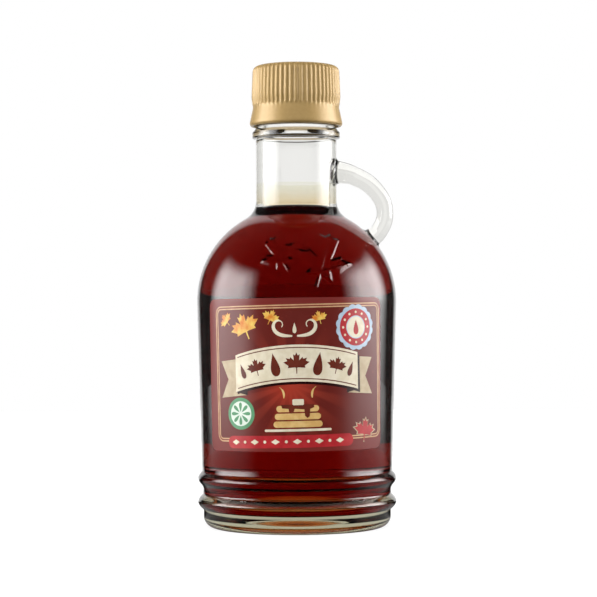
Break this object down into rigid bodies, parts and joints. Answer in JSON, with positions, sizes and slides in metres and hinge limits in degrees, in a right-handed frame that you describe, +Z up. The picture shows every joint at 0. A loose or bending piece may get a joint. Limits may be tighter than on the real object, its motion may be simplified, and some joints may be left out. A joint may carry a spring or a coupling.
{
  "type": "maple syrup bottle",
  "caption": "Round clear glass bottle of dark maple syrup with a small loop handle, ribs above the heel, moulded maple leaves, film labels and a gold fluted screw cap.",
  "frame": {"origin": "middle of the bottle's foot, on the surface that it stands on", "axes": "+Z up along the bottle's axis, +X towards the handle, -Y towards the front label"},
  "size_m": [0.07, 0.071, 0.1619],
  "materials": {
    "clear_glass": "smooth moulded flint glass with a faint green edge",
    "gold_metal": "satin gold lacquered sheet, fluted, with a smooth lower band",
    "dark_syrup": "clear dark red brown syrup",
    "front_print": "printed clear film, brown with gold, cream, green and red fields, semi gloss",
    "back_print": "printed film, brown with cream fields, semi gloss"
  },
  "bodies": {
    "root": {"bottle_glass": "clear_glass", "screw_cap": "gold_metal", "syrup": "dark_syrup", "front_label": "front_print", "back_label": "back_print"}
  },
  "joints": []
}
